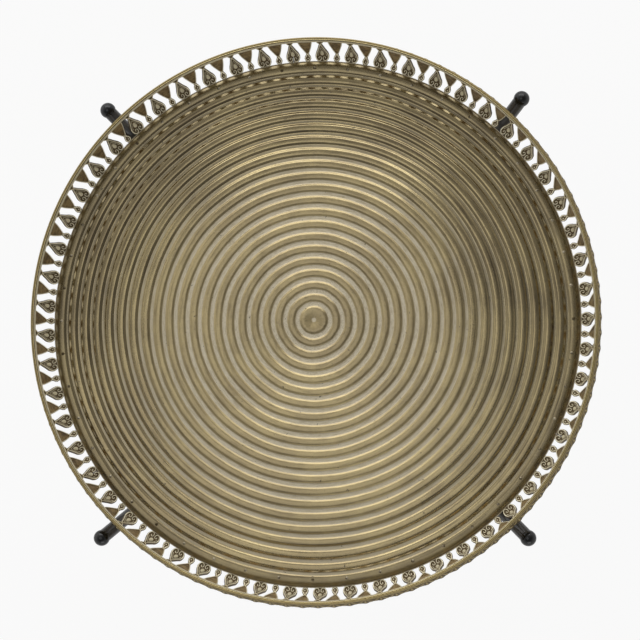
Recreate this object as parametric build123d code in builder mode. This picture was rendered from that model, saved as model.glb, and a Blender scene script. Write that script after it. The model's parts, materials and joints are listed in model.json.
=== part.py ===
from build123d import *
from math import asin, atan2, cos, degrees, hypot, pi, radians, sin
import os

os.makedirs("parts", exist_ok=True)

# Driving dimensions, in millimetres. The floor is z = 0 and the stand's pivot is the z axis.
tray_level = 470.0  # top of the pan's flat lands
tray_radius = 251.5  # tips of the scalloped apron

# Pan: spun sheet with narrow channels between wide lands
pan_radius = 234.0
pan_sheet = 1.2
channel_count = 20
channel_pitch = 11.0
first_channel = 14.6  # radius of the innermost channel
channel_width = 4.5
channel_depth = 0.9
land_crown = 0.3
edge_crown = 0.75  # the outermost land is a fuller roll
edge_drop = 1.1
edge_crest_shift = 0.5  # the roll's crest lies outside the middle of the land
punch_radius = 2.6  # centre mark left by the spinning lathe
punch_depth = 0.6

# Pierced gallery: a flat foot under the pan, a low flange and an upright wall
gallery_sheet = 0.9
foot_radius = 226.6
foot_level = -2.4  # heights of the tray's own profiles are measured from tray_level
flange_radius = 234.8
bend_radius = 242.4
bend_level = -0.6
bend_fillet = 5.0
wall_top_radius = 244.4
wall_top = 35.3
unit_count = 57  # one heart and one goblet each
half_unit = 13.22  # from a heart's middle to a goblet's middle along the wall
strip_count = 3
units_per_strip = unit_count // strip_count
first_joint = 94.7  # azimuth of the first joint, through the middle of a heart

# Rim
bead_gap = 0.05
bead_height = 1.5
ridge_width = 1.3  # of each of the two ridges
ridge_slope = 0.4  # width and height of a ridge's sloping sides
bead_start = 244.0
apron_sheet = 1.2
apron_start = 246.7
apron_drop = 16.0
apron_overrun = 1.0  # the band is made this much too wide, then cut to scallops
scallop_count = 2 * unit_count
scallop_depth = 0.8

# Rivets that hold the gallery's foot under the pan
rivet_count = 48
rivet_circle = 228.6
rivet_shank = 0.8
rivet_head = 1.5
rivet_dome = 1.0
rivet_seat = 0.3
rivet_tail_height = 0.65

# Plates soldered behind the three hearts that the strip's joints run through
plate_width = 5.0
plate_thickness = 0.7
plate_bottom = 2.0
plate_top = 10.0

# Stand: two crossed frames of straight tubes on one upright bolt
tube_radius = 6.0
tube_bore = 5.0
sleeve_radius = 8.0
sleeve_length = 40.0
sleeve_chamfer = 0.6
sleeve_middle = {"upper": 267.0, "lower": 183.0}
tube_offset = 10.0  # an arm leaves its sleeve this much above the middle, a leg below
frame_azimuth = {"upper": 134.5, "lower": 46.3}
tray_gap = 0.35  # clearance where the tray rests on an arm
frame_sides = {"upper": {"nw": 0, "se": 180}, "lower": {"ne": 0, "sw": 180}}

ball_circle = 266.5  # where the ball plugs' middles stand
ball_radius = 7.0
ball_overhang = 2.5  # from the end of the tube to the middle of the ball
plug_radius = 4.95
plug_length = 12.0
foot_circle = 220.0
foot_ball = 9.0
foot_sink = 0.8  # flat cut off the foot's ball where it stands
foot_collar = 7.6
foot_collar_length = 14.0
foot_wall = 2.0  # rubber between the end of the tube and the middle of the ball
fit_gap = 0.05

bolt_radius = 4.0
bolt_bore = 4.08
washer_radius = 6.4
washer_thickness = 0.8
running_gap = 0.1
spacer_radius = 6.5
bolt_head = 5.0
bolt_head_rim = 1.0  # straight edge below the dome
bolt_tail = 3.0  # past the nut
bolt_chamfer = 0.8
thread_gap = 0.02
nut_height = 8.5
nut_flats = 13.0
lug_reach = 10.5
lug_width = 4.0
lug_height = 4.0
lug_root = 1.0  # how deep the lug starts inside the spacer
lug_lift = 3.0  # the lower frame's arms pass below the lug
finger_gap = 0.6  # between the sleeve's finger and the spacer
finger_depth = 3.0  # how far the finger reaches down into the sleeve


def finish(builder, name):
    """Names a finished piece and writes it out."""
    builder.part.label = name
    export_step(builder.part, f"parts/{name}.step")


def radial_plane(azimuth, height=0.0):
    """Upright plane through the z axis: x is the radius, y is up."""
    a = radians(azimuth)
    return Plane((0, 0, height), x_dir=(cos(a), sin(a), 0), z_dir=(sin(a), -cos(a), 0))


def dome_arc(radius, base, height):
    """Arc of a shallow dome, from its rim at the given radius up to the z axis."""
    ball = (radius**2 + height**2) / (2 * height)
    middle = base + height - ball
    start = degrees(atan2(base - middle, radius))
    return CenterArc((0, middle), ball, start, 90 - start)


# ---- Tray ----

pan_channels = [first_channel + channel_pitch * k for k in range(channel_count)]
half_channel = channel_width / 2


def pan_line(shift):
    """Top of the pan from the punch mark out to the edge, moved down by shift."""
    punch_side = (punch_radius * 0.6, -punch_depth * 0.6 - shift)
    ThreePointArc((0, -punch_depth - shift), punch_side, (punch_radius, -shift))
    land_start = punch_radius
    for middle in pan_channels:
        land_end = middle - half_channel
        ThreePointArc(
            (land_start, -shift), ((land_start + land_end) / 2, land_crown - shift), (land_end, -shift)
        )
        land_start = middle + half_channel
        ThreePointArc((land_end, -shift), (middle, -channel_depth - shift), (land_start, -shift))
    crest = (land_start + pan_radius) / 2 + edge_crest_shift
    ThreePointArc((land_start, -shift), (crest, edge_crown - shift), (pan_radius, -edge_drop - shift))


with BuildPart() as tray_pan:
    with BuildSketch(radial_plane(0, tray_level)):
        with BuildLine():
            pan_line(0)
            pan_line(pan_sheet)
            Line((0, -punch_depth), (0, -punch_depth - pan_sheet))
            Line((pan_radius, -edge_drop), (pan_radius, -edge_drop - pan_sheet))
        make_face()
    revolve(axis=Axis.Z)
    with BuildSketch(Plane.XY.offset(tray_level - 4 * pan_sheet)):
        with PolarLocations(rivet_circle, rivet_count):
            Circle(rivet_shank + fit_gap)
    extrude(amount=8 * pan_sheet, mode=Mode.SUBTRACT)
    with BuildSketch(Plane.XY.offset(tray_level + rivet_seat)):
        with PolarLocations(rivet_circle, rivet_count):
            Circle(rivet_head + fit_gap)
    extrude(amount=pan_sheet, mode=Mode.SUBTRACT)
finish(tray_pan, "tray_pan")

# One pair of openings, to the left and right of the heart that stands at azimuth 0
wall_cut = 6.0
opening_top = 29.6  # height above the pan where the openings end
flange_cut = 5.7
flange_cut_top = 0.7  # the cut through the flange overlaps the cut through the wall
wall_inside = bend_radius - 1.2
with BuildPart() as opening:
    with BuildSketch(Plane((wall_inside, 0, tray_level), x_dir=(0, 1, 0), z_dir=(1, 0, 0))):
        with BuildLine():
            heart_side = Spline((5.3, 0.6), (4.2, 6.0), (3.0, 13.2), (1.2, 22.8), (3.1, opening_top))
            goblet_side = ThreePointArc(
                (half_unit - 1.6, 0.6), (half_unit - 4.3, 15.0), (half_unit - 6.3, opening_top)
            )
            Line(heart_side @ 0, goblet_side @ 0)
            Line(heart_side @ 1, goblet_side @ 1)
        make_face()
    extrude(amount=wall_cut)
    with BuildSketch(Plane.XY.offset(tray_level + flange_cut_top - flange_cut)):
        with BuildLine():
            lobe_side = Spline((236.3, 4.6), (238.1, 6.0), (240.2, 6.3), (246.0, 5.3))
            ring_side = ThreePointArc(
                (236.3, half_unit - 1.4), (238.6, half_unit - 3.2), (241.0, half_unit - 1.4)
            )
            Line(ring_side @ 1, (246.0, half_unit - 1.5))
            Line((246.0, half_unit - 1.5), lobe_side @ 1)
            Line(lobe_side @ 0, ring_side @ 0)
        make_face()
    extrude(amount=flange_cut)
    mirror(about=Plane.XZ)

for strip in range(strip_count):
    strip_start = first_joint + strip * 360 / strip_count
    with BuildPart() as gallery_strip:
        with BuildSketch(radial_plane(strip_start, tray_level)):
            with BuildLine():
                FilletPolyline(
                    (foot_radius, foot_level),
                    (flange_radius, foot_level),
                    (bend_radius, bend_level),
                    (wall_top_radius, wall_top),
                    radius=[2.0, bend_fillet],
                )
                offset(amount=gallery_sheet, side=Side.RIGHT)
            make_face()
        revolve(axis=Axis.Z, revolution_arc=360 / strip_count)
        with PolarLocations(0, units_per_strip, start_angle=strip_start, angular_range=360 / strip_count):
            add(opening.part, mode=Mode.SUBTRACT)
        with BuildSketch(Plane.XY.offset(tray_level + foot_level - 2 * gallery_sheet)):
            with PolarLocations(rivet_circle, rivet_count):
                Circle(rivet_shank + fit_gap)
        extrude(amount=3 * gallery_sheet, mode=Mode.SUBTRACT)
    finish(gallery_strip, f"gallery_strip_{strip + 1}")

with BuildPart() as rim_bead:
    with BuildSketch(radial_plane(0, tray_level + wall_top + bead_gap)):
        with BuildLine():
            bead_end = bead_start + 2 * ridge_width
            shoulder = bead_height - ridge_slope
            outline = [(bead_end, 0), (bead_start, 0), (bead_start, shoulder)]
            for start in (bead_start, bead_start + ridge_width):
                outline.append((start + ridge_slope, bead_height))
                outline.append((start + ridge_width - ridge_slope, bead_height))
                outline.append((start + ridge_width, shoulder))
            Polyline(*outline, close=True)
        make_face()
    revolve(axis=Axis.Z)
finish(rim_bead, "rim_bead")


def scallop_point(step, radius):
    """Point of the scalloped outline, step counted in scallops round the rim."""
    a = radians(first_joint) + 2 * pi * (step - 0.5) / scallop_count
    return (radius * cos(a), radius * sin(a))


apron_slope = apron_drop / (tray_radius - apron_start)
blank_radius = tray_radius + apron_overrun
with BuildPart() as rim_apron:
    with BuildSketch(radial_plane(0, tray_level)):
        with BuildLine():
            blank_level = wall_top - apron_slope * (blank_radius - apron_start)
            Polyline((apron_start, wall_top), (blank_radius, blank_level))
            offset(amount=apron_sheet, side=Side.RIGHT)
        make_face()
    revolve(axis=Axis.Z)
    with BuildSketch(Plane.XY.offset(tray_level)):
        Circle(blank_radius + apron_overrun)
        with BuildLine():
            for step in range(scallop_count):
                ThreePointArc(
                    scallop_point(step, tray_radius - scallop_depth),
                    scallop_point(step + 0.5, tray_radius),
                    scallop_point(step + 1, tray_radius - scallop_depth),
                )
        make_face(mode=Mode.SUBTRACT)
    extrude(amount=wall_top + apron_drop, mode=Mode.SUBTRACT)
finish(rim_apron, "rim_apron")

tail_level = foot_level - gallery_sheet - fit_gap
tail_tip = (0, tail_level - rivet_tail_height)
with BuildPart() as rivet:
    with BuildSketch(radial_plane(0, tray_level)):
        with BuildLine():
            Polyline(
                tail_tip,
                (rivet_head, tail_level),
                (rivet_shank, tail_level),
                (rivet_shank, rivet_seat),
                (rivet_head, rivet_seat),
            )
            dome_arc(rivet_head, rivet_seat, rivet_dome)
            Line((0, rivet_seat + rivet_dome), tail_tip)
        make_face()
    revolve(axis=Axis.Z)

with BuildPart() as gallery_rivets:
    with PolarLocations(rivet_circle, rivet_count):
        add(rivet.part)
finish(gallery_rivets, "gallery_rivets")

wall_lean = (wall_top_radius - bend_radius) / (wall_top - bend_level)
plate_inside = bend_radius + wall_lean * (plate_top - bend_level) + gallery_sheet + fit_gap
with BuildPart() as gallery_joint_plates:
    with BuildSketch(Plane.XY.offset(tray_level + plate_bottom)):
        with PolarLocations(plate_inside + plate_thickness / 2, strip_count, start_angle=first_joint):
            Rectangle(plate_thickness, plate_width)
    extrude(amount=plate_top - plate_bottom)
finish(gallery_joint_plates, "gallery_joint_plates")

# ---- Stand ----

# The pan's flange turns up round a fillet, and each arm touches that fillet from below
flange_angle = atan2(bend_level - foot_level, bend_radius - flange_radius)
wall_angle = atan2(wall_top - bend_level, wall_top_radius - bend_radius)
half_corner = (radians(180) + flange_angle - wall_angle) / 2
corner_reach = bend_fillet / sin(half_corner)
fillet_radius = bend_radius + corner_reach * cos(wall_angle + half_corner)
fillet_level = tray_level + bend_level + corner_reach * sin(wall_angle + half_corner)
rest_distance = bend_fillet + gallery_sheet + tube_radius + tray_gap


def tube(azimuth, start_level, slope, length):
    """Straight tube that leaves the sleeve at a slope, coped to the sleeve."""
    a = radians(azimuth)
    out = Vector(cos(a) * cos(slope), sin(a) * cos(slope), sin(slope))
    start = Vector(cos(a) * sleeve_radius, sin(a) * sleeve_radius, start_level) - out * tube_radius
    with BuildPart() as straight:
        with BuildSketch(Plane(start, z_dir=out)):
            Circle(tube_radius)
            Circle(tube_bore, mode=Mode.SUBTRACT)
        extrude(amount=length + tube_radius)
        with BuildSketch(Plane.XY.offset(start_level - 4 * tube_radius)):
            Circle(sleeve_radius + fit_gap)
        extrude(amount=8 * tube_radius, mode=Mode.SUBTRACT)
    return straight, Plane(start + out * (length + tube_radius), z_dir=out)


for frame, sides in frame_sides.items():
    middle = sleeve_middle[frame]
    arm_level = middle + tube_offset
    leg_level = middle - tube_offset
    run = fillet_radius - sleeve_radius
    rise = fillet_level - arm_level
    arm_slope = atan2(rise, run) - asin(rest_distance / hypot(run, rise))
    arm_length = (ball_circle - sleeve_radius) / cos(arm_slope) - ball_overhang
    leg_slope = -atan2(leg_level - (foot_ball - foot_sink), foot_circle - sleeve_radius)
    leg_length = (foot_circle - sleeve_radius) / cos(leg_slope) - foot_wall

    for side, turn in sides.items():
        azimuth = frame_azimuth[frame] + turn
        arm, arm_end = tube(azimuth, arm_level, arm_slope, arm_length)
        finish(arm, f"arm_{side}")
        leg, leg_end = tube(azimuth, leg_level, leg_slope, leg_length)
        finish(leg, f"leg_{side}")

        ball_at = arm_end.origin + arm_end.z_dir * ball_overhang
        with BuildPart() as ball_cap:
            with BuildSketch(Plane(arm_end.origin, z_dir=arm_end.z_dir)):
                Circle(plug_radius)
            extrude(amount=-plug_length)
            with Locations(ball_at):
                ball = Sphere(ball_radius, mode=Mode.PRIVATE)
            add(split(ball, bisect_by=arm_end, keep=Keep.TOP, mode=Mode.PRIVATE))
        finish(ball_cap, f"ball_cap_{side}")

        foot_at = leg_end.origin + leg_end.z_dir * foot_wall
        with BuildPart() as foot:
            with Locations(foot_at):
                Sphere(foot_ball)
            with BuildSketch(leg_end.offset(foot_wall)):
                Circle(foot_collar)
            extrude(amount=-foot_collar_length - foot_wall)
            with BuildSketch(leg_end):
                Circle(tube_radius + fit_gap)
            extrude(amount=-2 * foot_collar_length, mode=Mode.SUBTRACT)
            split(bisect_by=Plane.XY, keep=Keep.TOP)
        finish(foot, f"foot_{side}")

sleeve_top = {name: level + sleeve_length / 2 for name, level in sleeve_middle.items()}
sleeve_base = {name: level - sleeve_length / 2 for name, level in sleeve_middle.items()}
spacer_base = sleeve_top["lower"] + 2 * running_gap + washer_thickness
lug_base = spacer_base + lug_lift
finger_azimuth = frame_azimuth["lower"] + 90


def stop_outline(azimuth, inner, base):
    """Outline of a small stop that stands on the given azimuth, from inner out to lug_reach."""
    a = radians(azimuth)
    reach = lug_reach - inner
    with BuildSketch(Plane((0, 0, base), x_dir=(cos(a), sin(a), 0), z_dir=(0, 0, 1))) as outline:
        with Locations((inner + reach / 2, 0)):
            Rectangle(reach, lug_width)
    return outline.sketch


for name in ("upper", "lower"):
    with BuildPart() as pivot_sleeve:
        with BuildSketch(Plane.XY.offset(sleeve_base[name])):
            Circle(sleeve_radius)
        extrude(amount=sleeve_length)
        chamfer(pivot_sleeve.edges().filter_by(GeomType.CIRCLE), length=sleeve_chamfer)
        if name == "lower":
            finger_root = sleeve_top[name] - finger_depth
            finger = stop_outline(finger_azimuth, spacer_radius + finger_gap, finger_root)
            extrude(finger, amount=lug_base + lug_height - finger_root)
        with BuildSketch(Plane.XY.offset(sleeve_base[name])):
            Circle(bolt_bore)
        extrude(amount=sleeve_length, mode=Mode.SUBTRACT)
    finish(pivot_sleeve, f"pivot_sleeve_{name}")

lug_turn = degrees(2 * asin((lug_width + 2 * running_gap) / 2 / spacer_radius))
with BuildPart() as pivot_spacer:
    with BuildSketch(Plane.XY.offset(spacer_base)):
        Circle(spacer_radius)
    extrude(amount=sleeve_base["upper"] - spacer_base)
    lug = stop_outline(finger_azimuth - lug_turn, spacer_radius - lug_root, lug_base)
    extrude(lug, amount=lug_height)
    with BuildSketch(Plane.XY.offset(spacer_base)):
        Circle(bolt_bore)
    extrude(amount=sleeve_base["upper"] - spacer_base, mode=Mode.SUBTRACT)
finish(pivot_spacer, "pivot_spacer")

washer_base = {
    "top": sleeve_top["upper"],
    "middle": sleeve_top["lower"] + running_gap,
    "bottom": sleeve_base["lower"] - running_gap - washer_thickness,
}
for name, base in washer_base.items():
    with BuildPart() as washer:
        with BuildSketch(Plane.XY.offset(base)):
            Circle(washer_radius)
            Circle(bolt_bore, mode=Mode.SUBTRACT)
        extrude(amount=washer_thickness)
    finish(washer, f"washer_{name}")

head_base = washer_base["top"] + washer_thickness
nut_top = washer_base["bottom"]
with BuildPart() as pivot_nut:
    with BuildSketch(Plane.XY.offset(nut_top - nut_height)):
        RegularPolygon(nut_flats / 2, 6, major_radius=False)
        Circle(bolt_radius + thread_gap, mode=Mode.SUBTRACT)
    extrude(amount=nut_height)
finish(pivot_nut, "pivot_nut")

bolt_base = nut_top - nut_height - bolt_tail
with BuildPart() as pivot_bolt:
    with BuildSketch(radial_plane(0)):
        with BuildLine():
            Polyline(
                (0, head_base + bolt_head),
                (0, bolt_base),
                (bolt_radius - bolt_chamfer, bolt_base),
                (bolt_radius, bolt_base + bolt_chamfer),
                (bolt_radius, head_base),
                (sleeve_radius, head_base),
                (sleeve_radius, head_base + bolt_head_rim),
            )
            dome_arc(sleeve_radius, head_base + bolt_head_rim, bolt_head - bolt_head_rim)
        make_face()
    revolve(axis=Axis.Z)
finish(pivot_bolt, "pivot_bolt")
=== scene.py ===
import json
import math

import bpy
import numpy as np
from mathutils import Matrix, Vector


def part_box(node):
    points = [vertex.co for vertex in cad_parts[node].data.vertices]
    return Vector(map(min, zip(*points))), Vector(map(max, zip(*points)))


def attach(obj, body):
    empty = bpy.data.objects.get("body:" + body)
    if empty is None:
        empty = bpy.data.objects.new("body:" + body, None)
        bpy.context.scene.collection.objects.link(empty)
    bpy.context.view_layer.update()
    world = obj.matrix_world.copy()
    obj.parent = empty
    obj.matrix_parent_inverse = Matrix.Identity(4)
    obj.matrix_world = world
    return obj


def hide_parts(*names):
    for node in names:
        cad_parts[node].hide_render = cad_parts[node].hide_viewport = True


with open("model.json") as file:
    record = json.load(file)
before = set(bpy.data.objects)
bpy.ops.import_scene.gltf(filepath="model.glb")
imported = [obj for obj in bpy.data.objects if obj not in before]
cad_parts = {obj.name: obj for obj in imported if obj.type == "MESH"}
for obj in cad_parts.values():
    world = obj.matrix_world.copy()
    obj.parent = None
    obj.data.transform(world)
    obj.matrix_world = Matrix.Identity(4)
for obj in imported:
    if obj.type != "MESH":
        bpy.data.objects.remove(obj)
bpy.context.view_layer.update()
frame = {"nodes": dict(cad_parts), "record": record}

mm = 0.001  # the shapes below are worked out in millimetres


class Value:
    # one output of a node, usable in plain sums
    def __init__(self, finish, socket):
        self.finish = finish
        self.socket = socket

    def combine(self, operation, first, second):
        return self.finish.node("ShaderNodeMath", {"operation": operation}, {0: first, 1: second})

    def __add__(self, other):
        return self.combine("ADD", self, other)

    def __radd__(self, other):
        return self.combine("ADD", other, self)

    def __sub__(self, other):
        return self.combine("SUBTRACT", self, other)

    def __rsub__(self, other):
        return self.combine("SUBTRACT", other, self)

    def __mul__(self, other):
        return self.combine("MULTIPLY", self, other)

    def __rmul__(self, other):
        return self.combine("MULTIPLY", other, self)


class Finish:
    # the nodes of one material, or of the world
    def __init__(self, owner):
        owner.use_nodes = True
        self.owner = owner
        self.tree = owner.node_tree
        self.tree.nodes.clear()

    def node(self, kind, settings=None, sockets=None, output=0):
        made = self.tree.nodes.new(kind)
        for key, setting in (settings or {}).items():
            setattr(made, key, setting)
        for key, value in (sockets or {}).items():
            if isinstance(value, Value):
                self.tree.links.new(value.socket, made.inputs[key])
            elif isinstance(value, tuple) and len(value) == 3 and made.inputs[key].type == "RGBA":
                made.inputs[key].default_value = (*value, 1)
            else:
                made.inputs[key].default_value = value
        return Value(self, made.outputs[output]) if len(made.outputs) else None

    def place(self):
        return self.node("ShaderNodeTexCoord", output="Object")

    def along(self, vector, axis):
        # one coordinate of a vector, by its letter
        return self.node("ShaderNodeSeparateXYZ", None, {0: vector}, axis)

    def noise(self, vector, scale, detail=3.0, roughness=0.5):
        sockets = {"Vector": vector, "Scale": scale, "Detail": detail, "Roughness": roughness}
        return self.node("ShaderNodeTexNoise", None, sockets, "Fac")

    def step(self, value, low, high):
        # 0 below low, 1 above high, smooth between
        sockets = {"Value": value, "From Min": low, "From Max": high}
        return self.node("ShaderNodeMapRange", {"interpolation_type": "SMOOTHSTEP"}, sockets)

    def mix(self, factor, first, second, blend="MIX"):
        settings = {"data_type": "RGBA", "blend_type": blend}
        return self.node("ShaderNodeMix", settings, {0: factor, 6: first, 7: second}, 2)

    def attribute(self, name):
        return self.node("ShaderNodeAttribute", {"attribute_name": name}, output="Fac")

    def surface(self, sockets, height, depth):
        # depth is how many metres the relief stands up where height is 1
        relief = {"Height": height, "Distance": depth, "Strength": 1.0}
        normal = self.node("ShaderNodeBump", None, relief)
        shader = self.node("ShaderNodeBsdfPrincipled", None, {**sockets, "Normal": normal})
        self.node("ShaderNodeOutputMaterial", None, {"Surface": shader})
        return self.owner


def newFinish(name):
    return Finish(bpy.data.materials.new(name))


class Shell:
    # gathers closed bits of mesh into one piece
    def __init__(self):
        self.points = []
        self.faces = []
        self.wearAndShading = []
        self.tint = []
        self.total = 0

    def add(self, points, faces, wearAndShading=0.0, tint=0.0):
        points = np.asarray(points, float)
        self.points.append(points)
        self.wearAndShading.append(np.broadcast_to(np.asarray(wearAndShading, float), len(points)))
        self.tint.append(np.broadcast_to(np.asarray(tint, float), len(points)))
        for group in faces:
            self.faces.append(np.asarray(group) + self.total)
        self.total += len(points)

    def make(self, name, slot, stands, sharp=42):
        # sharp is the angle in degrees above which an edge stays crisp
        mesh = bpy.data.meshes.new(name)
        faces = [face for group in self.faces for face in group.tolist()]
        mesh.from_pydata((np.concatenate(self.points) * mm).tolist(), [], faces)
        mesh.update()
        mesh.shade_smooth()
        mesh.set_sharp_from_angle(angle=math.radians(sharp))
        # the wear attribute holds real wear, and also where highlights and shade are painted
        for layer, values in (("wearAndShading", self.wearAndShading), ("tint", self.tint)):
            data = mesh.attributes.new(layer, "FLOAT", "POINT").data
            data.foreach_set("value", np.concatenate(values).astype(np.float32))
        mesh.materials.append(finishes[slot])
        piece = bpy.data.objects.new(name, mesh)
        bpy.context.scene.collection.objects.link(piece)
        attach(piece, "tray")
        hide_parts(*stands)


def gridFaces(rows, columns, closeRows=False, closeColumns=False, flip=False):
    r = np.arange(rows if closeRows else rows - 1)
    c = np.arange(columns if closeColumns else columns - 1)
    r, c = (a.ravel() for a in np.meshgrid(r, c, indexing="ij"))
    nextRow = (r + 1) % rows
    nextColumn = (c + 1) % columns
    here = r * columns
    there = nextRow * columns
    quads = np.stack([here + c, here + nextColumn, there + nextColumn, there + c], 1)
    return quads[:, ::-1] if flip else quads


def smoothLine(points, steps):
    # Catmull-Rom through the given points
    p = np.array(points, float)
    p = np.vstack([2 * p[0] - p[1], p, 2 * p[-1] - p[-2]])
    t = np.linspace(0, 1, steps, endpoint=False)[:, None]
    out = []
    for i in range(1, len(p) - 2):
        a, b, c, d = p[i - 1:i + 3]
        bend = 2 * a - 5 * b + 4 * c - d
        twist = 3 * b - a - 3 * c + d
        out.append(0.5 * (2 * b + (c - a) * t + bend * t**2 + twist * t**3))
    return np.vstack(out + [p[-2:-1]])


def resample(line, count):
    # count points at even distances along the line
    steps = np.hypot(*np.diff(line, axis=0).T)
    run = np.concatenate([[0], np.cumsum(steps)])
    t = np.linspace(0, run[-1], count)
    return np.stack([np.interp(t, run, line[:, k]) for k in range(line.shape[1])], 1)


camera = {
    "position": (0.112, -0.116, 1.738),
    "turn": (5.22, 4.78, 0.21),  # degrees about X, Y and Z
    "lens": 80.8,
    "sensor": 36,
    "reach": 50,  # metres
}


def makeCamera():
    data = bpy.data.cameras.new("camera")
    data.lens = camera["lens"]
    data.sensor_width = camera["sensor"]
    data.clip_end = camera["reach"]
    eye = bpy.data.objects.new("camera", data)
    eye.location = camera["position"]
    eye.rotation_euler = [math.radians(a) for a in camera["turn"]]
    bpy.context.scene.collection.objects.link(eye)
    bpy.context.scene.camera = eye


makeCamera()
print("camera ready")

studio = {
    "floorSize": 30.0,
    "floorColour": (0.82, 0.82, 0.81),
    "white": (1.0, 1.0, 1.0),
    "shownWhite": 0.9,  # how much of the floor that the camera sees is plain white
    "mirroredWhite": 0.5,  # the same for the floor in reflections
    "zenith": 0.16,
    "horizon": 0.72,
    "horizonEnds": (0.05, 0.85),  # height in the sky over which the horizon's light fades
    "northLift": 0.55,
    "northEnds": (-0.2, 0.9),
    "northWay": (-0.45, 0.9),  # how much of X and of Y counts as north
    "lamps": [
        # name, position, aim, width, height, watts
        ("northBox", (-0.1, 2.0, 1.85), (0, 0, 0.45), 2.6, 1.1, 15),
        ("topBox", (-0.3, -0.25, 2.9), (0, 0, 0.45), 1.3, 1.3, 4),
        ("southBox", (0.5, -2.4, 1.4), (0, 0, 0.4), 1.6, 1.0, 6),
    ],
}


def makeFloor():
    finish = newFinish("floorPale")
    lit = finish.node("ShaderNodeBsdfDiffuse", None, {"Color": studio["floorColour"]})
    plain = finish.node("ShaderNodeEmission", None, {"Color": studio["white"], "Strength": 1.0})
    seen = finish.node("ShaderNodeLightPath", output="Is Camera Ray")
    shiny = finish.node("ShaderNodeLightPath", output="Is Glossy Ray")
    factor = seen * studio["shownWhite"] + shiny * studio["mirroredWhite"]
    both = finish.node("ShaderNodeMixShader", None, {0: factor, 1: lit, 2: plain})
    finish.node("ShaderNodeOutputMaterial", None, {"Surface": both})
    half = studio["floorSize"] / 2
    corners = [(-half, -half, 0), (half, -half, 0), (half, half, 0), (-half, half, 0)]
    mesh = bpy.data.meshes.new("floor")
    mesh.from_pydata(corners, [], [(0, 1, 2, 3)])
    mesh.materials.append(finish.owner)
    floor = bpy.data.objects.new("floor", mesh)
    bpy.context.scene.collection.objects.link(floor)


def makeWorld():
    world = bpy.data.worlds.new("studio")
    bpy.context.scene.world = world
    finish = Finish(world)
    way = finish.node("ShaderNodeTexCoord", output="Generated")
    up = finish.along(way, "Z")
    east = finish.along(way, "X")
    eastShare, northShare = studio["northWay"]
    north = finish.along(way, "Y") * northShare + east * eastShare
    low = 1 - finish.step(up, *studio["horizonEnds"])
    sky = studio["zenith"] + low * (studio["horizon"] - studio["zenith"])
    shade = sky + finish.step(north, *studio["northEnds"]) * studio["northLift"]
    seen = finish.node("ShaderNodeLightPath", output="Is Camera Ray")
    strength = shade * (1 - seen) + seen
    light = finish.node("ShaderNodeBackground", None, {"Color": studio["white"], "Strength": strength})
    finish.node("ShaderNodeOutputWorld", None, {"Surface": light})


def makeLamps():
    for name, position, aim, width, height, watts in studio["lamps"]:
        data = bpy.data.lights.new(name, "AREA")
        data.shape = "RECTANGLE"
        data.size = width
        data.size_y = height
        data.energy = watts
        lamp = bpy.data.objects.new(name, data)
        lamp.location = position
        lamp.rotation_euler = (Vector(aim) - Vector(position)).to_track_quat("-Z", "Y").to_euler()
        bpy.context.scene.collection.objects.link(lamp)


makeFloor()
makeWorld()
makeLamps()
bpy.context.scene.view_settings.view_transform = "Standard"
print("floor and light ready")

panLook = {
    "land": (0.40, 0.315, 0.165),
    "landWarm": (0.52, 0.415, 0.21),
    # dark tone of the spun streaks, also used as painted shade along the channels' lips
    "landDarkAndShade": (0.16, 0.118, 0.06),
    "residue": (0.63, 0.56, 0.41),
    "grime": (0.035, 0.027, 0.015),
    "flatEdge": 0.30,  # where the channel's floor ends, as a share of half the pitch
    "wornEnds": (105.0, 215.0),  # radius over which the residue is rubbed off
    "wornWay": (60, 240),  # how much earlier that starts towards +X and +Y
    "wornWander": 130,  # how far clouds of noise move it
    "borderEnds": (224.0, 229.0),
    # share of painted shade on the outermost roll, beside the gallery's wall
    "borderShade": 0.22,
    "borderRough": 0.12,
    "scratchTurn": 0.6,  # radians
    "film": {"Coat Weight": 0.3, "Coat Roughness": 0.14, "Coat IOR": 1.8},  # pale film over the brass
    "relief": 0.00022,
}


def ringCoordinates(finish, place):
    flat = finish.node("ShaderNodeVectorMath", {"operation": "MULTIPLY"}, {0: place, 1: (1, 1, 0)})
    radius = finish.node("ShaderNodeVectorMath", {"operation": "LENGTH"}, {0: flat}, "Value")
    way = finish.node("ShaderNodeVectorMath", {"operation": "NORMALIZE"}, {0: flat})
    return radius, way


def streaks(finish, way, radius, along, across):
    # noise drawn out round the tray
    around = finish.node("ShaderNodeVectorMath", {"operation": "SCALE"}, {0: way, 3: along})
    lift = finish.node("ShaderNodeCombineXYZ", None, {2: radius * across})
    both = finish.node("ShaderNodeVectorMath", {"operation": "ADD"}, {0: around, 1: lift})
    return finish.noise(both, 1.0, 4.0, 0.6)


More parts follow.
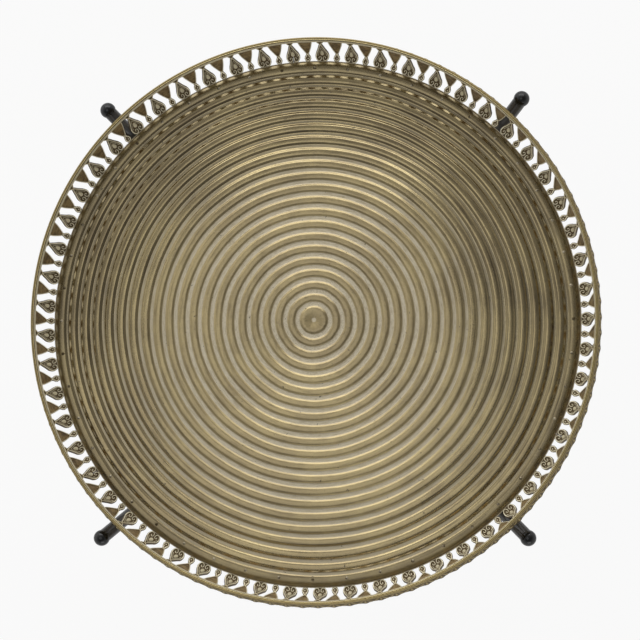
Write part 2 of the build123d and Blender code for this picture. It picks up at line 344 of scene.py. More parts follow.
def makePanBrass():
    look = panLook
    f = newFinish("panBrass")
    place = f.place()
    radius, way = ringCoordinates(f, place)
    r = radius * 1000  # millimetres
    ribs = f.attribute("wearAndShading")  # 0 in the middle of a channel, 1 on the crest of a land

    blotch = f.noise(place, 14.0, 5.0, 0.65)
    cloud = f.noise(place, 4.2, 3.0, 0.55)
    fine = streaks(f, way, radius, 14.0, 1100.0)
    long = streaks(f, way, radius, 4.0, 330.0)
    grain = f.noise(place, 620.0, 3.0, 0.65)
    east = f.along(place, "X") * look["wornWay"][0]
    north = f.along(place, "Y") * look["wornWay"][1]
    worn = f.step(r + (cloud - 0.5) * look["wornWander"] + east + north, *look["wornEnds"])

    flatEdge = look["flatEdge"]
    ragged = ribs + (fine - 0.5) * 0.16 + (blotch - 0.5) * 0.14 + worn * 0.16 - 0.03
    channel = 1 - f.step(ragged, flatEdge * 0.82, flatEdge * 1.22)
    # marks the slopes from channel to land, where painted shade darkens the lips
    lipShade = f.step(ragged, flatEdge * 0.9, flatEdge * 1.4) * (1 - f.step(ragged, 0.46, 0.72))

    colour = f.mix(f.step(blotch, 0.38, 0.64), look["land"], look["landWarm"])
    colour = f.mix(f.step(long, 0.48, 0.70) * (0.35 + worn * 0.35), colour, look["landDarkAndShade"])
    # painted shade: a thin darker line along the channels' lips
    colour = f.mix(lipShade * cloud * 0.2, colour, look["landDarkAndShade"])
    dusty = channel * (0.55 + f.step(fine, 0.34, 0.58) * 0.45) * (1 - worn * 0.72)
    colour = f.mix(dusty, colour, look["residue"])
    colour = f.mix(1.0, colour, 1.06 - worn * 0.30, "MULTIPLY")
    colour = f.mix(0.75, colour, 0.62 + fine * 0.38 + grain * 0.36, "MULTIPLY")
    specks = f.step(f.noise(place, 210.0, 2.0, 0.75), 0.70, 0.76)
    slant = {0: place, 2: (0, 0, look["scratchTurn"]), 3: (38, 1500, 1)}
    scratch = f.step(f.noise(f.node("ShaderNodeMapping", None, slant), 1.0, 2.0), 0.71, 0.75)
    colour = f.mix(specks * 0.7, colour, look["grime"])
    colour = f.mix(scratch * 0.25, colour, look["residue"])
    # painted shade: the outermost roll darkens where it meets the gallery's wall
    border = f.step(r, *look["borderEnds"])
    colour = f.mix(1.0, colour, 1 - border * look["borderShade"], "MULTIPLY")

    rough = 0.26 - worn * 0.15 + (blotch + fine) * (0.1 - worn * 0.06) + dusty * 0.28 + specks * 0.2
    rough = rough + border * look["borderRough"]
    metal = 0.96 - dusty * 0.6 - specks * 0.5
    height = (fine * 0.45 + grain * 0.3 + blotch * 0.8) * (1 - worn * 0.6) + specks * 0.3
    sockets = {"Base Color": colour, "Roughness": rough, "Metallic": metal, **look["film"]}
    return f.surface(sockets, height, look["relief"])


galleryLook = {
    "field": (0.24, 0.175, 0.088),
    # tarnish in the hollows, darkened further as painted shade
    "hollowTarnishAndShade": (0.03, 0.02, 0.010),
    # polished ridge tops, raised to a painted highlight
    "ridge": (1.0, 0.92, 0.68),
    "brown": (0.125, 0.078, 0.035),
    "goblet": (0.42, 0.30, 0.14),
    "gobletDark": (0.15, 0.095, 0.04),
    "body": {"Metallic": 0.4, "Specular IOR Level": 0.25},
    "relief": 0.00015,
}


def makeGalleryBrass():
    look = galleryLook
    f = newFinish("galleryBrass")
    place = f.place()
    wearAndShading = f.attribute("wearAndShading")  # 0 in the hollows, 1 on the ridges
    blotch = f.noise(place, 60.0, 4.0, 0.6)
    grain = f.noise(place, 700.0, 3.0, 0.6)
    # painted shade: near black at the feet of the raised lines, over the tarnish in the hollows
    colour = f.mix(f.step(wearAndShading, 0.0, 0.25), look["hollowTarnishAndShade"], look["field"])
    colour = f.mix(f.step(blotch, 0.42, 0.62) * 0.45, colour, look["brown"])
    speck = f.noise(place, 260.0, 4.0, 0.7)
    smooth = f.mix(f.step(blotch * 0.4 + speck * 0.6, 0.42, 0.6), look["goblet"], look["gobletDark"])
    colour = f.mix(f.attribute("tint"), colour, smooth)  # the tint is 1 on the goblets' cups
    # painted highlight: the ridges' tops turn pale cream, over their real polish
    colour = f.mix(f.step(wearAndShading + (grain - 0.5) * 0.25, 0.40, 0.85), colour, look["ridge"])
    rough = 0.42 - wearAndShading * 0.14 + grain * 0.12
    sockets = {"Base Color": colour, "Roughness": rough, **look["body"]}
    return f.surface(sockets, blotch * 0.5 + grain * 0.3, look["relief"])


rimLook = {
    "gold": (0.36, 0.28, 0.13),
    # polished tops, made paler as a painted highlight
    "pale": (0.92, 0.78, 0.42),
    "brown": (0.17, 0.115, 0.05),
    # painted shade in the grooves and flutes
    "grooveShade": (0.075, 0.055, 0.026),
    "specular": 0.1,
    "relief": 0.0001,
}


def makeRimBrass():
    look = rimLook
    f = newFinish("rimBrass")
    place = f.place()
    wearAndShading = f.attribute("wearAndShading")
    grain = f.noise(place, 500.0, 3.0, 0.6)
    blotch = f.noise(place, 30.0, 4.0, 0.6)
    # painted shade: dark in the groove between the rolls, in the leaves' flutes and towards the apron's edge
    colour = f.mix(f.step(wearAndShading + (blotch - 0.5) * 0.35, 0.15, 0.6), look["grooveShade"], look["gold"])
    # painted highlight: the tops of the rolls and of the leaves turn pale, over their polish
    colour = f.mix(f.step(wearAndShading + (grain - 0.5) * 0.15, 0.7, 1.1), colour, look["pale"])
    apron = f.attribute("tint")  # 1 on the apron, 0 on the crest
    colour = f.mix(apron * 0.3, colour, look["brown"])
    rough = 0.17 + apron * 0.4 + grain * 0.06
    metal = 0.95 - apron * 0.7
    bumps = grain * (0.4 + apron * 1.6) + blotch * 0.4
    sockets = {"Base Color": colour, "Roughness": rough, "Metallic": metal}
    sockets["Specular IOR Level"] = look["specular"]
    return f.surface(sockets, bumps, look["relief"])


rivetLook = {"brass": (0.52, 0.46, 0.34), "tarnish": (0.10, 0.075, 0.04), "relief": 0.0001}


def makeRivetBrass():
    f = newFinish("rivetBrass")
    blotch = f.noise(f.place(), 190.0, 3.0, 0.6)
    colour = f.mix(f.step(blotch, 0.4, 0.62), rivetLook["brass"], rivetLook["tarnish"])
    sockets = {"Base Color": colour, "Roughness": 0.38 + blotch * 0.2, "Metallic": 0.9}
    return f.surface(sockets, blotch, rivetLook["relief"])


paintLook = {
    "black": (0.07, 0.067, 0.065),
    "dust": (0.14, 0.133, 0.125),
    "chip": (0.03, 0.028, 0.026),
    "relief": 0.00005,
}


def makeBlackPaint():
    f = newFinish("blackPaint")
    place = f.place()
    peel = f.noise(place, 260.0, 2.0, 0.5)
    dust = f.step(f.noise(place, 90.0, 5.0, 0.7), 0.60, 0.80)
    chip = f.step(f.noise(place, 45.0, 4.0, 0.75), 0.74, 0.78)
    colour = f.mix(dust * 0.5, paintLook["black"], paintLook["dust"])
    colour = f.mix(chip * 0.7, colour, paintLook["chip"])
    rough = 0.22 + dust * 0.2 + chip * 0.2
    sockets = {"Base Color": colour, "Roughness": rough, "Metallic": 0.4}
    return f.surface(sockets, peel + dust * 0.3, paintLook["relief"])


ballLook = {"black": (0.006, 0.006, 0.006), "scuff": (0.05, 0.048, 0.045), "relief": 0.00012}


def makeBallBlack():
    f = newFinish("ballBlack")
    place = f.place()
    mottle = f.noise(place, 320.0, 3.0, 0.6)
    scuff = f.step(f.noise(place, 130.0, 5.0, 0.75), 0.58, 0.74)
    colour = f.mix(scuff * 0.4, ballLook["black"], ballLook["scuff"])
    return f.surface({"Base Color": colour, "Roughness": 0.17 + scuff * 0.25}, mottle, ballLook["relief"])


rubberLook = {
    "black": (0.018, 0.018, 0.018),
    "dust": (0.075, 0.072, 0.068),
    "specular": 0.35,
    "relief": 0.0001,
}


def makeFootRubber():
    f = newFinish("footRubber")
    place = f.place()
    grain = f.noise(place, 900.0, 3.0, 0.6)
    dust = f.step(f.noise(place, 120.0, 4.0, 0.65), 0.5, 0.75)
    colour = f.mix(dust * 0.6, rubberLook["black"], rubberLook["dust"])
    rough = 0.72 + grain * 0.15
    sockets = {"Base Color": colour, "Roughness": rough, "Specular IOR Level": rubberLook["specular"]}
    return f.surface(sockets, grain, rubberLook["relief"])


steelLook = {"steel": (0.05, 0.05, 0.052), "rust": (0.10, 0.07, 0.05), "relief": 0.00008}


def makeBoltSteel():
    f = newFinish("boltSteel")
    place = f.place()
    grain = f.noise(place, 600.0, 3.0, 0.6)
    rust = f.step(f.noise(place, 140.0, 5.0, 0.7), 0.56, 0.68)
    colour = f.mix(rust * 0.6, steelLook["steel"], steelLook["rust"])
    sockets = {"Base Color": colour, "Roughness": 0.38 + rust * 0.3, "Metallic": 0.8 - rust * 0.5}
    return f.surface(sockets, grain + rust * 0.5, steelLook["relief"])


finishes = {
    "pan_brass": makePanBrass(),
    "gallery_brass": makeGalleryBrass(),
    "rim_brass": makeRimBrass(),
    "rivet_brass": makeRivetBrass(),
    "black_paint": makeBlackPaint(),
    "ball_black": makeBallBlack(),
    "foot_rubber": makeFootRubber(),
    "bolt_steel": makeBoltSteel(),
}
for part in frame["record"]["subparts"]:
    for slot in frame["nodes"][part["node"]].material_slots:
        slot.material = finishes[part["material_slot"]]
print("finishes ready")

pan = {
    "edge": 234.0,
    "sheet": 1.2,
    "channels": 20,
    "firstChannel": 14.6,
    "pitch": 11.0,
    "floorHalf": 1.1,  # flat floor of a channel
    "channelDepth": 0.85,
    "landCrown": 0.42,
    "slopeShare": 0.6,  # of the way from a channel's floor to the land's crest
    "edgeCrown": 0.75,
    "edgeDrop": 0.45,
    "edgeArch": 1.1,
    # radius and height across the raised boss in the middle
    "middle": [
        (0, -1.1), (1.6, -1.05), (3.0, -0.82), (5.0, -0.4), (7.0, 0.0),
        (8.6, 0.24), (10.0, 0.28), (11.2, 0.1), (12.3, -0.45), (13.4, -0.85),
    ],
    "middleRings": [
        0.8, 1.5, 2.1, 2.7, 3.5, 4.6, 5.8, 7.0, 8.2, 9.2, 10.1, 10.9, 11.5, 12.1, 12.6, 13.0, 13.4,
    ],
    "middleDust": 6,  # radius of the pale dust in the centre mark
    "segments": 288,
    "wave": 0.09,  # how far the spun sheet wanders up and down
    "drift": 0.3,  # how far a channel wanders in and out
    "calmMiddle": 30,  # the wandering grows from nothing over this radius
    "calmEdge": 5,  # and dies out over this last stretch
}
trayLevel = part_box("tray_pan")[1].z / mm - pan["edgeCrown"]


def panRibs(r):
    # 0 in the middle of a channel, 1 on the crest between two channels
    turn = (r - pan["firstChannel"]) / pan["pitch"]
    return np.abs(turn - np.clip(np.round(turn), 0, pan["channels"] - 1)) * 2


def panHeight(r):
    # top of the pan at radius r, above its flat level
    p = pan
    half = p["pitch"] / 2
    floor = p["floorHalf"] / half
    u = np.clip((panRibs(r) - floor) / (1 - floor), 0, 1)
    slope = np.clip(u / p["slopeShare"], 0, 1)
    z = p["landCrown"] * (1 - (1 - u)**2) - p["channelDepth"] * (1 - slope**2 * (3 - 2 * slope))
    last = p["firstChannel"] + (p["channels"] - 1) * p["pitch"] + p["floorHalf"]
    w = np.clip((r - last) / (p["edge"] - last), 0, 1)
    arch = 1 - np.abs(2 * w**0.8 - 1)**2.5
    roll = -p["channelDepth"] * (1 - w) - p["edgeDrop"] * w + arch * p["edgeArch"]
    z = np.where(r > last, roll, z)
    middle = smoothLine(p["middle"], 6)
    return np.where(r < middle[-1, 0], np.interp(r, middle[:, 0], middle[:, 1]), z)


def wander(angle, r, waves, seed, reach):
    # slow ups and downs over the sheet, the same on every run
    draw = np.random.default_rng(seed)
    out = np.zeros(np.broadcast(angle, r).shape)
    for _ in range(waves):
        lobes = draw.integers(3, 15)
        phase = draw.uniform(0, 2 * math.pi)
        tilt = draw.uniform(-1, 1)
        pace = draw.uniform(0.02, 0.09)
        out += np.sin(lobes * angle + phase + tilt * r * 0.05) * np.cos(pace * r + phase * 3)
    return out * reach / math.sqrt(waves)


def panRings():
    # radii of the mesh's rings, close together where the pan bends
    p = pan
    radii = list(p["middleRings"])
    for k in range(p["channels"]):
        low = p["firstChannel"] + k * p["pitch"] - p["floorHalf"]
        high = low + 2 * p["floorHalf"]
        radii += list(np.linspace(low, high, 5)[1:])
        if k < p["channels"] - 1:
            radii += list(np.linspace(high, low + p["pitch"], 13)[1:])
    radii += list(np.linspace(radii[-1], p["edge"], 14)[1:])
    return np.array(radii)


def panSkin(radii, angle, shift):
    # one face of the sheet and its wear; shift is how far it lies below the top
    p = pan
    r = radii[:, None]
    fade = np.clip(r / p["calmMiddle"], 0, 1) * np.clip((p["edge"] - r) / p["calmEdge"], 0, 1)
    moved = r + wander(angle, r, 6, 11, p["drift"]) * fade
    moved = np.clip(moved, 0, p["edge"])
    z = panHeight(moved) + wander(angle, r, 9, 23, p["wave"]) * fade - shift
    wearAndShading = np.ones_like(moved) if shift else np.clip(panRibs(moved), 0, 1)
    dust = p["middleDust"]
    wearAndShading = np.where(moved < dust, np.clip(moved / dust, 0, 1), wearAndShading)
    return np.stack([r * np.cos(angle), r * np.sin(angle), trayLevel + z], 2).reshape(-1, 3), wearAndShading.ravel()


def makePan():
    p = pan
    radii = panRings()
    under = radii[::-2]
    rows = len(radii) + len(under)
    n = p["segments"]
    angle = np.linspace(0, 2 * math.pi, n, endpoint=False)[None, :]
    above, wearAndShadingAbove = panSkin(radii, angle, 0)
    below, wearAndShadingBelow = panSkin(under, angle, p["sheet"])
    middle = trayLevel + p["middle"][0][1]
    points = np.vstack([above, below, [[0, 0, middle], [0, 0, middle - p["sheet"]]]])
    ring = np.arange(n)
    after = (ring + 1) % n
    last = (rows - 1) * n
    quads = gridFaces(rows, n, closeColumns=True, flip=True)
    top = np.stack([np.full(n, rows * n), ring, after], 1)
    bottom = np.stack([np.full(n, rows * n + 1), last + after, last + ring], 1)
    shell = Shell()
    shell.add(points, [quads, top, bottom], np.concatenate([wearAndShadingAbove, wearAndShadingBelow, [0, 1]]))
    shell.make("panDish", "pan_brass", ["tray_pan"], sharp=60)


makePan()
print("pan ready")

gallery = {
    "units": 57,
    "strips": 3,
    "firstJoint": 94.7,  # degrees
    "sheet": 0.9,
    "corners": [(226.6, -2.4), (234.8, -2.4), (242.4, -0.6), (244.4, 35.3)],
    "fillets": [1.2, 5.0],
    "outwardPoints": 18,  # points at the start of the line, where it runs outwards
    "outerRelief": 0.15,  # the ornament is nearly flat on the outer side
    "backRelief": 0.6,  # share of a panel's swell that its outer face has
    "spread": 240.0,  # radius at which the ornament's width is measured
    "jointGap": 0.06,
    # height along the sheet and half the width of the panel there
    "heart": [
        (0.2, 3.0), (0.9, 3.8), (1.7, 4.7), (3.3, 5.95), (5.2, 6.4), (7.0, 6.1), (9.0, 5.5), (13.4, 4.45),
        (18.2, 3.5), (23.4, 2.6), (28.0, 1.75), (30.8, 1.2), (33.0, 1.5), (37.4, 3.2), (38.7, 3.6),
    ],
    "goblet": [
        (0.2, 1.3), (1.0, 1.6), (2.0, 2.6), (3.65, 3.1), (5.2, 2.6), (6.6, 1.65), (7.8, 1.3), (9.2, 1.6),
        (10.8, 2.1), (16.6, 3.2), (23.8, 4.5), (31.0, 5.6), (37.4, 6.3), (38.7, 6.5),
    ],
}


def cornerLine():
    # the sheet's inner line from the foot under the pan to the crest, with rounded corners
    corners = [np.array(c, float) for c in gallery["corners"]]
    line = [corners[0]]
    for before, corner, after, size in zip(corners, corners[1:], corners[2:], gallery["fillets"]):
        a = (before - corner) / np.linalg.norm(before - corner)
        b = (after - corner) / np.linalg.norm(after - corner)
        half = math.acos(np.clip(a @ b, -1, 1)) / 2
        cut = size / math.tan(half)
        middle = corner + (a + b) / np.linalg.norm(a + b) * size / math.sin(half)
        start = corner + a * cut
        end = corner + b * cut
        for u in np.linspace(0, 1, 13):
            arm = (start - middle) * (1 - u) + (end - middle) * u
            line.append(middle + arm / np.linalg.norm(arm) * size)
    line.append(corners[-1])
    return np.array(line)


sheetLine = cornerLine()
sheetRun = np.concatenate([[0], np.cumsum(np.hypot(*np.diff(sheetLine, axis=0).T))])
outward = slice(gallery["outwardPoints"])
sheetRun -= np.interp(gallery["corners"][1][0], sheetLine[outward, 0], sheetRun[outward])  # 0 under the edge
sheetWay = np.gradient(sheetLine, sheetRun, axis=0)
sheetWay /= np.linalg.norm(sheetWay, axis=1)[:, None]
galleryTop = sheetRun[-1]


def onGallery(points, azimuth, face=1):
    # points are (across, along, height over the inner face); face -1 is the outer side
    across, along, height = np.asarray(points, float).T
    if face < 0:
        height = -gallery["sheet"] - height * gallery["outerRelief"]
        across = -across
    r = np.interp(along, sheetRun, sheetLine[:, 0])
    z = np.interp(along, sheetRun, sheetLine[:, 1])
    wayR = np.interp(along, sheetRun, sheetWay[:, 0])
    wayZ = np.interp(along, sheetRun, sheetWay[:, 1])
    r = r - wayZ * height
    z = z + wayR * height
    angle = azimuth + across / gallery["spread"]
    return np.stack([r * np.cos(angle), r * np.sin(angle), trayLevel + z], 1)


heartSide = smoothLine(gallery["heart"], 6)
gobletSide = smoothLine(gallery["goblet"], 6)


def halfWidth(side, along):
    return np.interp(along, side[:, 0], side[:, 1])


def inset(side, along, gap):
    return np.maximum(halfWidth(side, along) - gap, 0)


def heartField(across, along):
    # the heart's panel bulges a little between its edges
    u = np.clip(np.abs(across) / halfWidth(heartSide, along), 0, 1)
    swell = np.clip((along - 1) / 5, 0, 1) * np.clip((28 - along) / 8, 0, 1)
    return 0.35 * (1 - u**2) * swell


def gobletField(across, along):
    # the goblet's cup is hollowed a little
    u = np.clip(np.abs(across) / halfWidth(gobletSide, along), 0, 1)
    dish = np.clip((along - 11) / 4, 0, 1) * np.clip((37.4 - along) / 3, 0, 1)
    return -0.18 * (1 - u**2) * dish


def gobletTint(along):
    # 0 on the stem, 1 on the cup
    return np.clip((along - 9.5) / 1.5, 0, 1)


def panel(side, field, columns, rows, wearAndShading, left=-1.0, right=1.0):
    # a pierced panel: inner face, outer face and the cut edge between them
    u = np.linspace(left, right, columns)[None, :]
    along = resample(side, rows)[:, 0][:, None]
    across = u * halfWidth(side, along)
    front = np.stack([across, along + 0 * u, field(across, along)], 2).reshape(-1, 3)
    back = front.copy()
    back[:, 2] = -gallery["sheet"] + front[:, 2] * gallery["backRelief"]
    points = np.vstack([front, back])
    n = rows * columns
    loop = list(range(columns))
    loop += [r * columns + columns - 1 for r in range(1, rows)]
    loop += [(rows - 1) * columns + c for c in range(columns - 2, -1, -1)]
    loop += [r * columns for r in range(rows - 2, 0, -1)]
    loop = np.array(loop)
    after = np.roll(loop, -1)
    edge = np.stack([loop, loop + n, after + n, after], 1)
    faces = [gridFaces(rows, columns), gridFaces(rows, columns, flip=True) + n, edge]
    return points, faces, np.full(len(points), wearAndShading)


def ridge(path, width, height, base):
    # a raised, rounded line along a path of (across, along) points
    path = np.asarray(path, float)
    way = np.gradient(path, axis=0)
    way /= np.maximum(np.linalg.norm(way, axis=1), 1e-6)[:, None]
    reach = np.broadcast_to(np.asarray(width) / 2, len(path))[:, None]
    side = np.stack([-way[:, 1], way[:, 0]], 1) * reach
    level = base(path[:, 0], path[:, 1])
    foot = -0.12
    # share of half the width, height, wear and shading; the high values paint a highlight on the top, the
    # low ones shade at the feet
    profile = [
        (1, foot, 0.0),
        (0.85, height * 0.5, 0.55),
        (0.35, height, 1.0),
        (-0.35, height, 1.0),
        (-0.85, height * 0.5, 0.55),
        (-1, foot, 0.0),
    ]
    count = len(profile)
    n = len(path)
    lines = [np.column_stack([path + side * share, level + lift]) for share, lift, _ in profile]
    points = np.stack(lines, 1).reshape(-1, 3)
    quads = gridFaces(n, count, closeColumns=True, flip=True)
    caps = np.array([np.arange(count), count * n - 1 - np.arange(count)])
    return points, [quads, caps], np.tile([wearAndShading for _, _, wearAndShading in profile], n)


def bead(across, along, radius, height, base, sides):
    level = float(base(np.array([across]), np.array([along]))[0])
    points = []
    for share, lift in ((1.0, -0.1), (0.72, height * 0.72)):
        for t in np.linspace(0, 2 * math.pi, sides, endpoint=False):
            x = across + radius * share * math.cos(t)
            y = along + radius * share * math.sin(t)
            points.append((x, y, level + lift))
    points.append((across, along, level + height))
    ring = np.arange(sides)
    after = (ring + 1) % sides
    quads = np.stack([ring, after, sides + after, sides + ring], 1)
    tips = np.stack([sides + ring, sides + after, np.full(sides, 2 * sides)], 1)
    # pale on the top and dark at the foot: painted highlight and shade
    wearAndShading = np.array([0.0] * sides + [0.7] * sides + [1.0])
    return np.array(points), [quads, tips, np.array([ring[::-1]])], wearAndShading


def drop(across, along, width, low, high, height, base, sides):
    # a pear-shaped boss, pointed at the top
    a = np.linspace(0, 2 * math.pi, sides, endpoint=False)
    reach = np.where(np.sin(a) > 0, high, low)
    taper = 1 - 0.35 * np.clip(np.sin(a), 0, 1)
    level = float(base(np.array([across]), np.array([along]))[0])
    points = []
    for share, lift in ((1.0, -0.1), (0.8, height * 0.6), (0.45, height * 0.92)):
        x = across + width * share * np.cos(a) * taper
        y = along + reach * share * np.sin(a)
        points += list(zip(x, y, np.full(sides, level + lift)))
    points.append((across, along, level + height))
    ring = np.arange(sides)
    after = (ring + 1) % sides
    quads = []
    for lower in (0, sides):
        upper = lower + sides
        quads.append(np.stack([lower + ring, lower + after, upper + after, upper + ring], 1))
    tips = np.stack([2 * sides + ring, 2 * sides + after, np.full(sides, 3 * sides)], 1)
    # pale on the top and dark at the foot: painted highlight and shade
    wearAndShading = np.array([0.1] * sides + [0.75] * sides + [0.85] * sides + [0.9])
    return np.array(points), [np.vstack(quads), tips, np.array([ring[::-1]])], wearAndShading


def arc(x, y, start, end, radius, count):
    # angles in degrees
    a = np.radians(start + (end - start) * np.linspace(0, 1, count))
    return np.stack([x + radius * np.cos(a), y + radius * np.sin(a)], 1)


heartTrim = {
    "rim": (5.0, 29.0),  # from and to this height
    "rimInset": 0.85,
    "rimHeight": 0.85,
    "rimPlaces": [0, 10, 16, 40, 54, 63],
    "rimWidths": [0.85, 1.0, 1.25, 1.25, 1.0, 0.9],
    "rimPoints": 64,
    "scroll": [
        (2.75, 3.35), (3.05, 4.25), (2.35, 5.15), (1.25, 4.85), (0.8, 3.4), (1.35, 1.95), (2.7, 1.2),
        (4.2, 1.75), (5.3, 3.3),
    ],
    "tip": [(0.25, 31.0), (-0.7, 33.0), (-2.6, 37.6)],
    "beads": (6.4, 23.0),
    "beadCount": 15,
    "beadInset": 2.3,
}


def heartOrnament():
    # rim that ends in scrolls, a cross at the tip, a row of beads and a drop in the middle
    h = heartTrim
    bits = []
    along = np.linspace(*h["rim"], 30)
    outer = np.column_stack([inset(heartSide, along, h["rimInset"]), along])
    scroll = smoothLine(h["scroll"] + [outer[0]], 4)
    tip = smoothLine([outer[-1]] + h["tip"], 4)
    outer = resample(np.vstack([scroll[:-1], outer, tip[1:]]), h["rimPoints"])
    width = np.interp(np.arange(len(outer)), h["rimPlaces"], h["rimWidths"])
    sides = np.linspace(*h["beads"], 40)
    beads = resample(np.column_stack([inset(heartSide, sides, h["beadInset"]), sides]), h["beadCount"])
    for mirrored in (1, -1):
        flip = np.array([mirrored, 1])
        bits.append(ridge(outer * flip, width, h["rimHeight"], heartField))
        for x, t in beads * flip:
            bits.append(bead(x, t, 0.52, 0.6, heartField, 6))
    bits.append(drop(0, 9.0, 2.15, 3.2, 9.5, 1.1, heartField, 14))
    return bits


gobletTrim = {
    "rim": (11.4, 37.6),
    "rimInset": 0.5,
    "strand": [(0.85, 9.2), (-0.05, 7.9), (-0.9, 6.7)],
    "width": 1.1,
    "height": 0.75,
}


def gobletOrnament():
    # ring, two strands that cross, and the rim of the goblet above them
    g = gobletTrim
    bits = []
    high = np.linspace(*g["rim"], 16)
    rim = np.column_stack([inset(gobletSide, high, g["rimInset"]), high])
    ring = arc(0, 3.65, 62, -94, 2.2, 16) * (-1, 1)
    strand = smoothLine([rim[0]] + g["strand"] + [ring[0]], 4)
    line = np.vstack([rim[::-1], strand[1:-1], ring])
    for mirrored in (1, -1):
        bits.append(ridge(line * np.array([mirrored, 1]), g["width"], g["height"], gobletField))
    bits.append(bead(-0.3, 3.4, 0.75, 0.5, gobletField, 7))
    return bits


def band(rows, start, end, steps, front, back, wearAndShading):
    # a plain strip of the sheet between two heights, round part of the tray
    outline = [(0, t, front) for t in rows] + [(0, t, back) for t in rows[::-1]]
    count = len(outline)
    points = np.vstack([onGallery(outline, a) for a in np.linspace(start, end, steps)])
    caps = np.array([np.arange(count), (steps - 1) * count + np.arange(count)[::-1]])
    quads = gridFaces(steps, count, closeColumns=True)
    return points, [quads, caps], np.full(len(points), wearAndShading)


def addBits(shell, bits, azimuth):
    for points, faces, wearAndShading in bits:
        for face in (1, -1):
            shell.add(onGallery(points, azimuth, face), faces, wearAndShading)


def makeGallery():
    g = gallery
    unit = 2 * math.pi / g["units"]
    perStrip = g["units"] // g["strips"]
    heart = panel(heartSide, heartField, 11, 24, 0.12)
    leftHalf = panel(heartSide, heartField, 6, 24, 0.12, -1.0, -0.02)
    rightHalf = panel(heartSide, heartField, 6, 24, 0.12, 0.02, 1.0)
    gobletPoints, gobletFaces, gobletWearAndShading = panel(gobletSide, gobletField, 7, 22, 0.16)
    tint = gobletTint(gobletPoints[:, 1])
    heartBits = heartOrnament()
    gobletBits = gobletOrnament()
    # rows, front, back and wear and shading of the foot, its bead, the top band and its rail; the higher
    # values paint the rails pale as a highlight
    bands = [
        ([sheetRun[0], -2.5, -0.7, -0.2, 0.3, 0.7], 0.06, -0.98, 0.25),
        ([0.35, 0.5, 0.8, 0.95], 0.22, -1.05, 0.6),
        ([37.4, 38.6, 41.4, galleryTop], 0.06, -0.98, 0.35),
        ([38.0, 38.6, 41.0, 41.6], 0.5, -1.05, 0.8),
    ]
    gap = g["jointGap"] / g["spread"]
    for strip in range(g["strips"]):
        start = math.radians(g["firstJoint"]) + strip * unit * perStrip
        end = start + unit * perStrip
        shell = Shell()
        for k in range(perStrip + 1):
            here = start + k * unit
            points, faces, wearAndShading = leftHalf if k == perStrip else rightHalf if k == 0 else heart
            shell.add(onGallery(points, here), faces, wearAndShading)
            if k < perStrip:
                addBits(shell, heartBits, here)
                shell.add(onGallery(gobletPoints, here + unit / 2), gobletFaces, gobletWearAndShading, tint)
                addBits(shell, gobletBits, here + unit / 2)
        for rows, front, back, wearAndShading in bands:
            shell.add(*band(rows, start + gap, end - gap, perStrip * 10, front, back, wearAndShading))
        shell.make(f"galleryStrip_{strip + 1}", "gallery_brass", [f"gallery_strip_{strip + 1}"])


makeGallery()
print("gallery ready")

crest = {
    "start": 244.0,
    "width": 2.6,
    "rise": 0.6,
    "base": 35.25,
    "height": 1.5,
    "segments": 342,
    # from and to as shares of the width, height as a share of the rise
    "rolls": [(0, 0.32, 1.0), (0.36, 1.0, 0.8)],
}


def makeCrest():
    # a fine ridge with a wide roll outside it
    c = crest
    shoulder = c["height"] - c["rise"]
    # the third column is wear and shading: painted highlight on the rolls' tops, painted shade in the groove
    # between them
    line = [(c["start"] + c["width"], 0, 0.3), (c["start"], 0, 0.3)]  # radius, height, wear
    for start, end, share in c["rolls"]:
        for u in np.linspace(0, 1, 9):
            arch = math.sqrt(max(0, 1 - (2 * u - 1)**2))
            r = c["start"] + (start + (end - start) * u) * c["width"]
            line.append((r, shoulder + c["rise"] * arch * share, 0.35 + 0.65 * arch * share**3))
    line = np.array(line)
    n = c["segments"]
    angle = np.linspace(0, 2 * math.pi, n, endpoint=False)
    points = np.stack([
        np.outer(np.cos(angle), line[:, 0]),
        np.outer(np.sin(angle), line[:, 0]),
        np.tile(trayLevel + c["base"] + line[:, 1], (n, 1)),
    ], 2).reshape(-1, 3)
    shell = Shell()
    shell.add(points, [gridFaces(n, len(line), closeRows=True, closeColumns=True)], np.tile(line[:, 2], n))
    shell.make("rimCrest", "rim_brass", ["rim_bead"], sharp=75)


apron = {
    "start": (246.6, 35.3),
    "end": (251.5, 19.3),
    "sheet": 0.8,
    "lobes": 114,
    "scallop": 1.1,  # how far the edge draws back between two leaves
    "columns": 17,
    "rows": 14,
    "sink": 0.75,
    "leafStart": 0.26,  # share of the way down
    "leafEnd": 0.74,  # from here down it darkens to its edge
    "swell": 0.45,
    "flute": 0.2,
    "flutes": 11,
}


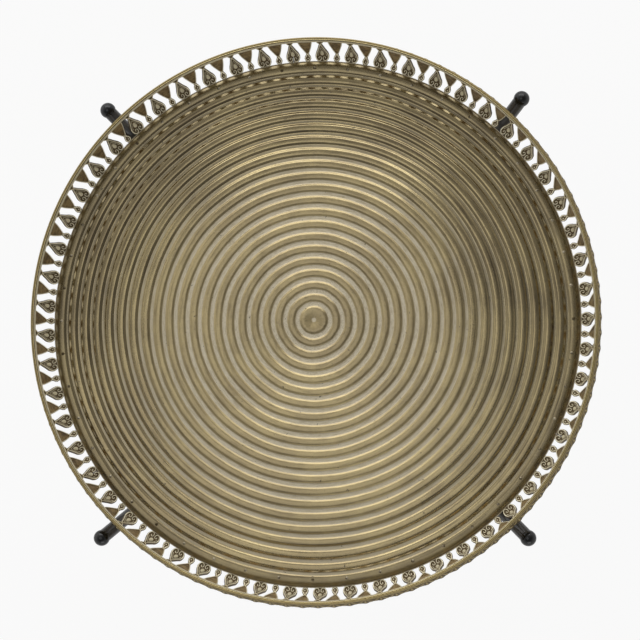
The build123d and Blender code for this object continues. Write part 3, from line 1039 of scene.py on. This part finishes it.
def makeApron():
    # a sloping band of fluted leaves below the crest
    c = apron
    inner = np.array(c["start"])
    way = np.array(c["end"]) - inner
    slope = way / np.linalg.norm(way)
    up = np.array([-slope[1], slope[0]])
    unit = 2 * math.pi / c["lobes"]
    u = np.linspace(-1, 1, c["columns"])[:-1]
    v = np.linspace(0, 1, c["rows"])
    around = np.linspace(0, 2 * math.pi, c["lobes"] * len(u), endpoint=False)
    around = (around + math.radians(gallery["firstJoint"]) - unit / 2)[:, None]
    uGrid, vGrid = np.meshgrid(np.tile(u, c["lobes"]), v, indexing="ij")
    run = vGrid * (1 - (c["scallop"] / way[0]) * uGrid**2)
    leaf = np.clip((vGrid - c["leafStart"]) * 6, 0, 1)
    swell = c["swell"] * np.sqrt(np.clip(1 - uGrid**2, 0, 1)) * leaf * np.clip((1.08 - vGrid) * 4, 0, 1)
    fan = np.arctan2(uGrid * 7, (vGrid - 0.2) * 13 + 1.5)  # angle seen from the leaf's foot
    flute = c["flute"] * np.cos(fan * c["flutes"]) * leaf
    skins = []
    for h in (swell + flute - c["sink"], swell * 0.5 - c["sink"] - c["sheet"]):
        r = inner[0] + way[0] * run + up[0] * h
        z = trayLevel + inner[1] + way[1] * run + up[1] * h
        r = np.minimum(r, c["end"][0] - 0.02)
        skins.append(np.stack([r * np.cos(around), r * np.sin(around), z], 2))
    points = np.concatenate([skins[0], skins[1][:, ::-1]], 1).reshape(-1, 3)
    # the leaves' colour follows their relief: painted highlight on the swells and flute crests, painted
    # shade in the flutes; darker towards the lower edge
    outline = 1 - np.clip((vGrid - c["leafEnd"]) * 8, 0, 1)
    front = ((0.62 - leaf * 0.4) + swell * 0.6 + flute * 2.6) * outline
    wearAndShading = np.concatenate([front, np.full_like(front, 0.1)], 1).ravel()
    shell = Shell()
    faces = gridFaces(len(around), 2 * c["rows"], closeRows=True, closeColumns=True)
    shell.add(points, [faces], np.clip(wearAndShading, 0, 1), 1.0)
    shell.make("rimApron", "rim_brass", ["rim_apron"], sharp=60)


makeCrest()
makeApron()
print("rim ready")
